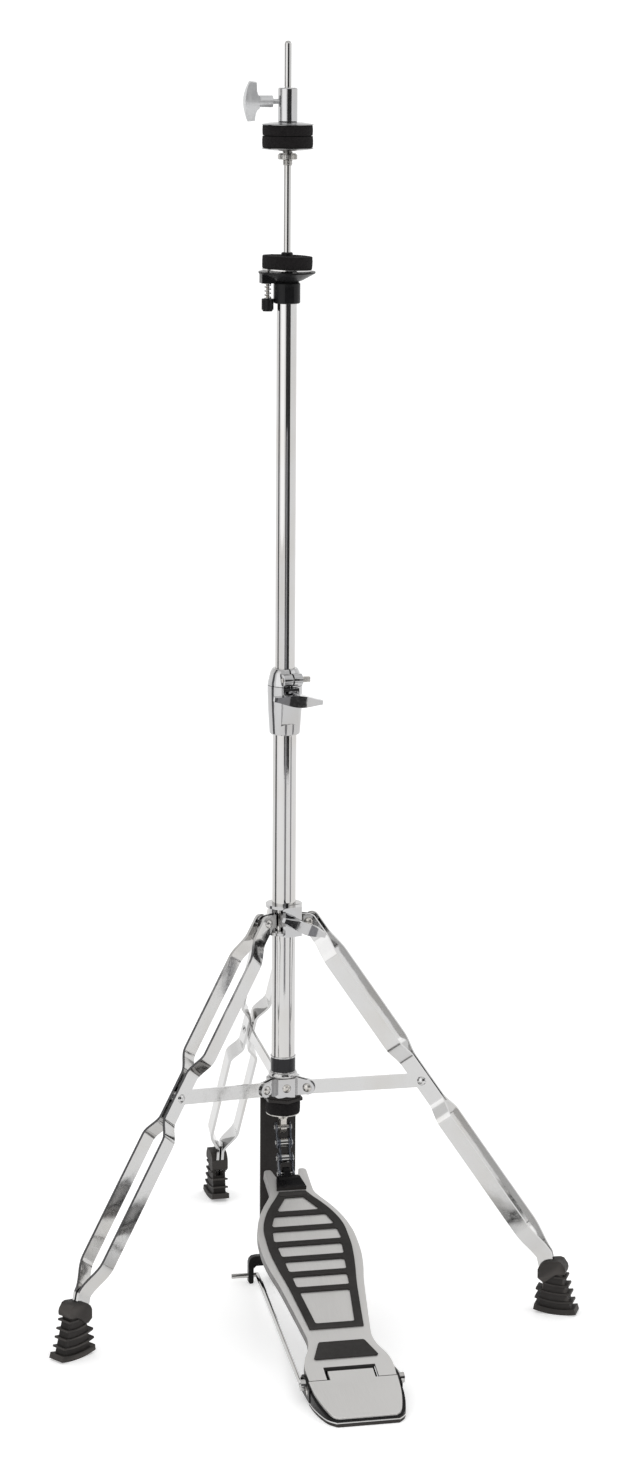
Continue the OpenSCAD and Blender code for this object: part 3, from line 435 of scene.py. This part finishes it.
def coil_spring(node, x, wire, turns, joint, material=None):
    """A spring of round wire, wire its radius, with closed ends. It rides on the joint's parent."""
    steps, sides = 36, 12
    closed_turns = 0.7
    closed_rise = 0.06
    outer, low, high = upright(node, x)
    radius = outer - wire
    total = turns * steps
    rows = []
    for i in range(total + 1):
        share = i / total
        climb = min(max((share * turns - closed_turns) / (turns - 2 * closed_turns), 0), 1)
        z = low + wire + (high - low - 2 * wire) * (closed_rise * share + (1 - closed_rise) * climb)
        along = 2 * math.pi * i / steps
        row = []
        for k in range(sides):
            about = 2 * math.pi * k / sides
            r = radius + wire * math.cos(about)
            row.append((x + r * math.cos(along), r * math.sin(along), z + wire * math.sin(about)))
        rows.append(row)
    bm = bmesh.new()
    add_skin(bm, rows, closed=False)
    obj = finished(bm, node, 60, material)
    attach(obj, JOINTS[joint]["parent"])
    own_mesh(obj)


def felt_section(inner, outer, low, high):
    """Round the section of a felt ring, a point every 0.45 mm, with softened corners and a bellied rim."""
    spacing = 0.45
    soft = 0.3
    bulge = 0.25
    rim = outer - 1
    corners = [
        (inner, low), (outer - soft, low), (outer, low + soft), (outer, high - soft), (outer - soft, high),
        (inner, high),
    ]
    points = []
    for (r0, z0), (r1, z1) in zip(corners, corners[1:] + corners[:1]):
        count = max(1, round(math.hypot(r1 - r0, z1 - z0) / spacing))
        points += [(r0 + (r1 - r0) * k / count, z0 + (z1 - z0) * k / count) for k in range(count)]
    middle = (low + high) / 2
    return [
        (r - bulge * (1 - math.cos(math.pi * (z - middle) / (high - low))) * (r > rim), z) for r, z in points
    ]


def felt_dent(point):
    """How far a felt's skin is sunk at a point, both in millimetres: fine pits in broad matting."""
    pits = 0.5 + 0.5 * noise.noise(point * 0.9) + 0.35 * noise.noise(point * 2.3)
    matting = 0.5 + 0.5 * noise.noise(point * 0.16)
    return 0.07 + 0.20 * max(0.0, pits) + 0.14 * matting


def felt_ring(bm, inner, outer, low, high, number, place):
    """Adds one ring of pressed felt, pitted all over but in its bore."""
    spacing = 0.5
    steps = round(2 * math.pi * outer / spacing)
    middle_r = (inner + outer) / 2
    middle_z = (low + high) / 2
    bore_edge = inner + 0.5
    # no two rings of a node have the same pits
    apart = 60 * number
    section = felt_section(inner, outer, low, high)
    rows = []
    for k in range(steps):
        angle = 2 * math.pi * k / steps
        row = []
        for r, z in section:
            seat = Vector((r * math.cos(angle), r * math.sin(angle), z + apart))
            dent = felt_dent(seat) * (r > bore_edge)
            sunk_r = r - dent * ((r - middle_r) / (outer - inner) * 2) ** 3
            sunk_z = z - dent * ((z - middle_z) / (high - low) * 2) ** 3
            row.append((sunk_r * math.cos(angle), sunk_r * math.sin(angle), sunk_z))
        rows.append(row)
    add_skin(bm, rows, closed=True, place=place)


def felt_washer(node, rings, place=None):
    """A node's felts, within the CAD ring: each has an inner and an outer radius, a foot and a top."""
    bm = bmesh.new()
    for number, ring in enumerate(rings):
        felt_ring(bm, *ring, number, place)
    bmesh.ops.recalc_face_normals(bm, faces=bm.faces)
    obj = piece(node + "_felt", to_mesh(bm, node + "_felt", 80), node)


def two_tone(obj, finish, chosen):
    """The faces that chosen picks by their centre, in millimetres, and their normal get another material: a
    real second finish on the band, painted shade on the footboard.
    """
    obj.data.materials.append(MATERIALS[finish])
    for face in obj.data.polygons:
        if chosen(face.center / MM, face.normal):
            face.material_index = len(obj.data.materials) - 1


def band_rim(centre, normal):
    """The bright rims below and above the dark band."""
    return not 183.6 < centre.z < 195.1


def board_side_painted_shade(centre, normal):
    """The footboard's turned-down edge and its underside, but nothing at its hinge: painted shade, for the
    dark reflection on the flange.
    """
    return normal.z - 0.34 * normal.y < 0.35 and centre.y > -252


def under_slot_painted_shade(centre, normal):
    """The footboard's flap below the heel's tongue: a box in the board's own frame. Its black is painted
    shade, for the dark gap round the tongue.
    """
    place = BOARD_FRAME.inverted() @ (centre * MM) / MM
    return abs(place.x) < 20.2 and 3 < place.y < 17.2 and place.z < -2.3


# the bars of the mat between its windows: low end, high end and half length of the ribs on it
MAT_BARS = [
    (104.1, 109.0, 19.4), (123.1, 128.1, 21.6), (141.9, 147.1, 23.6), (161, 165.9, 25.4), (180, 184.6, 25),
    (199, 203.8, 19.4),
]
RIBS_A_BAR = 3


def rib(bm, along, half, width, height):
    """A low rounded rib across the mat at a place along the board, tapered at both ends."""
    # just under the mat's face, so that the rib grows out of it
    foot = 1.1
    taper = 0.7
    section = [(-0.5, 0), (-0.42, 0.55), (-0.24, 0.9), (0, 1), (0.24, 0.9), (0.42, 0.55), (0.5, 0)]
    stations = [(-half, 0.15), (taper - half, 1), (half - taper, 1), (half, 0.15)]
    rows = [
        [(x, along + v * width * size, foot + w * height * size) for v, w in section] for x, size in stations
    ]
    add_skin(bm, rows, closed=False, place=BOARD_FRAME)


def ribbed_mat(obj):
    """Fine ribs on the mat's bars, and the bead at its top end."""
    bm = bmesh.new()
    bm.from_mesh(obj.data)
    for start, end, half in MAT_BARS:
        step = (end - start) / RIBS_A_BAR
        for k in range(RIBS_A_BAR):
            rib(bm, start + (k + 0.5) * step, half, 0.62 * step, 0.5)
    rib(bm, along=225.6, half=11.8, width=5.2, height=1.0)
    bmesh.ops.recalc_face_normals(bm, faces=bm.faces)
    for face in bm.faces:
        face.smooth = True
    bm.to_mesh(obj.data)
    bm.free()


def felts():
    """The clutch's pair, the bumper on the pull rod and the one on the lower seat."""
    rod_bore = 4.06
    inset = 0.05
    seam = 932
    gap = 0.01
    foot, top = upright("clutch_felts", MAST_X)[1:]
    lower = (rod_bore, 19.9, foot + inset, seam - gap)
    upper = (rod_bore, 19.75, seam + gap, top - inset)
    felt_washer("clutch_felts", [lower, upper])
    radius, foot, top = upright("bumper_felt", MAST_X)
    felt_washer("bumper_felt", [(rod_bore, radius, foot + inset, top - inset)])
    felt_washer("seat_felt", [(6.95, 19.85, 1.25, 11.35)], SEAT_FRAME)


POLISHED = {node: polish(node, width, FINISH.get(node)) for node, width in ROUND_EDGE.items()}
two_tone(POLISHED["tube_band"], "chrome_cast", band_rim)
# painted shade: the board's edge and underside take the darker steel by the way they face
two_tone(POLISHED["footboard"], "board_edge_painted_shade", board_side_painted_shade)
# painted shade: the flap below the tongue is made black to stand for the shade in the gap round it
two_tone(POLISHED["footboard"], "black_steel", under_slot_painted_shade)
ribbed_mat(POLISHED["footboard_mat"])
felts()
threaded("clutch_sleeve", MAST_X, bore=2.86, pitch=1.25, thread_to=923)
threaded("tilt_screw", SCREW_X, bore=0, pitch=0.7, thread_to=828, top=829.1)
coil_spring("tilt_spring", SCREW_X, 0.35, turns=5, joint="tilt_screw_rise", material="bright_rod")
coil_spring("pull_spring", MAST_X, 0.9, turns=11, joint="rod_pull")

# ---- stage, light and camera -------------------------------------------------------------------


def plain(name, colour, glow=0.0):
    """Matt paper or cloth, which may glow a little."""
    s = Shader(name, colour, 0.0, 0.8)
    s.set("Emission Color", (1, 1, 1, 1))
    s.set("Emission Strength", glow)
    s.tint(s.noise(2, 2), shaded(colour, 0.985, 0.985, 0.985))
    return s.material


def stage_mesh(name, points, faces, material):
    """A surface that isn't part of the object."""
    mesh = bpy.data.meshes.new(name)
    mesh.from_pydata(points, [], faces)
    mesh.materials.append(material)
    obj = bpy.data.objects.new(name, mesh)
    bpy.context.scene.collection.objects.link(obj)
    return obj


def floor():
    reach = 9
    corners = [(-reach, -reach, 0), (reach, -reach, 0), (reach, reach, 0), (-reach, reach, 0)]
    stage_mesh("floor", corners, [(0, 1, 2, 3)], plain("pale_floor", (0.93, 0.93, 0.93), glow=0.3))


def flag(name, start, end, radius, low, high, shade):
    """A dark cloth in an arc round the mast, seen only in the chrome: azimuths in degrees, sizes in m."""
    steps = 24
    ring = [math.radians(start + (end - start) * k / steps) for k in range(steps + 1)]
    points = [(radius * math.cos(a), radius * math.sin(a), z) for z in (low, high) for a in ring]
    faces = [(k, k + 1, k + steps + 2, k + steps + 1) for k in range(steps)]
    obj = stage_mesh(name, points, faces, plain(name + "_cloth", (shade, shade, shade * 1.05)))
    for ray in ("visible_camera", "visible_diffuse", "visible_shadow"):
        setattr(obj, ray, False)


def soft_light(name, place, target, size, power):
    """A soft box of that width and height in metres, facing target, and power in watts."""
    light = bpy.data.lights.new(name, "AREA")
    light.shape = "RECTANGLE"
    light.size, light.size_y = size
    light.energy = power
    obj = bpy.data.objects.new(name, light)
    aim = (Vector(target) - Vector(place)).to_track_quat("-Z", "Y")
    obj.matrix_world = Matrix.Translation(place) @ aim.to_matrix().to_4x4()
    bpy.context.scene.collection.objects.link(obj)


def sky():
    """White walls all round, dimmer towards the ceiling."""
    world = bpy.data.worlds.new("studio")
    bpy.context.scene.world = world
    world.use_nodes = True
    tree = world.node_tree
    axis = tree.nodes.new("ShaderNodeSeparateXYZ")
    tree.links.new(tree.nodes.new("ShaderNodeTexCoord").outputs["Generated"], axis.inputs[0])
    fade = tree.nodes.new("ShaderNodeMapRange")
    fade.inputs["From Min"].default_value = 0.2
    fade.inputs["From Max"].default_value = 0.85
    fade.inputs["To Min"].default_value = 1.14
    fade.inputs["To Max"].default_value = 0.74
    tree.links.new(axis.outputs["Z"], fade.inputs["Value"])
    tree.links.new(fade.outputs["Result"], tree.nodes["Background"].inputs["Strength"])
    tree.nodes["Background"].inputs["Color"].default_value = (1, 1, 1, 1)


def camera():
    """In front and a little above: yaw turns from +Y towards +X, pitch is up, roll tips to the right."""
    place = Vector((-0.5994, -2.7394, 1.0373))
    yaw, pitch, roll = (math.radians(a) for a in (12.794, -11.511, 0.3737))
    data = bpy.data.cameras.new("camera")
    data.lens = 87.64
    data.sensor_width = 36
    data.shift_y = -0.0068
    data.clip_end = 50
    obj = bpy.data.objects.new("camera", data)
    heading = Matrix.Rotation(-yaw, 4, "Z")
    tip = Matrix.Rotation(math.pi / 2 + pitch, 4, "X") @ Matrix.Rotation(roll, 4, "Z")
    obj.matrix_world = Matrix.Translation(place) @ (heading @ tip)
    bpy.context.scene.collection.objects.link(obj)
    bpy.context.scene.camera = obj


floor()
flag("flag_front", start=-109, end=-56, radius=2.0, low=0.0, high=1.7, shade=0.02)
flag("flag_left", start=159, end=179, radius=0.62, low=0.0, high=1.2, shade=0.12)
flag("flag_low", start=-101, end=-84, radius=0.9, low=0.0, high=0.6, shade=0.32)
flag("flag_right", start=-44, end=-30, radius=0.6, low=0.0, high=0.34, shade=0.35)
soft_light("key", place=(-1.85, -1.3, 1.25), target=(0, 0, 0.45), size=(2.0, 2.2), power=7)
soft_light("fill", place=(2.4, -1.0, 1.8), target=(0, 0, 0.4), size=(1.8, 1.8), power=4)
soft_light("top", place=(0.2, -0.4, 2.9), target=(0, 0, 0.4), size=(2.4, 2.4), power=4)
sky()
camera()
# colours are shown as they are, with no film curve
bpy.context.scene.view_settings.view_transform = "Standard"
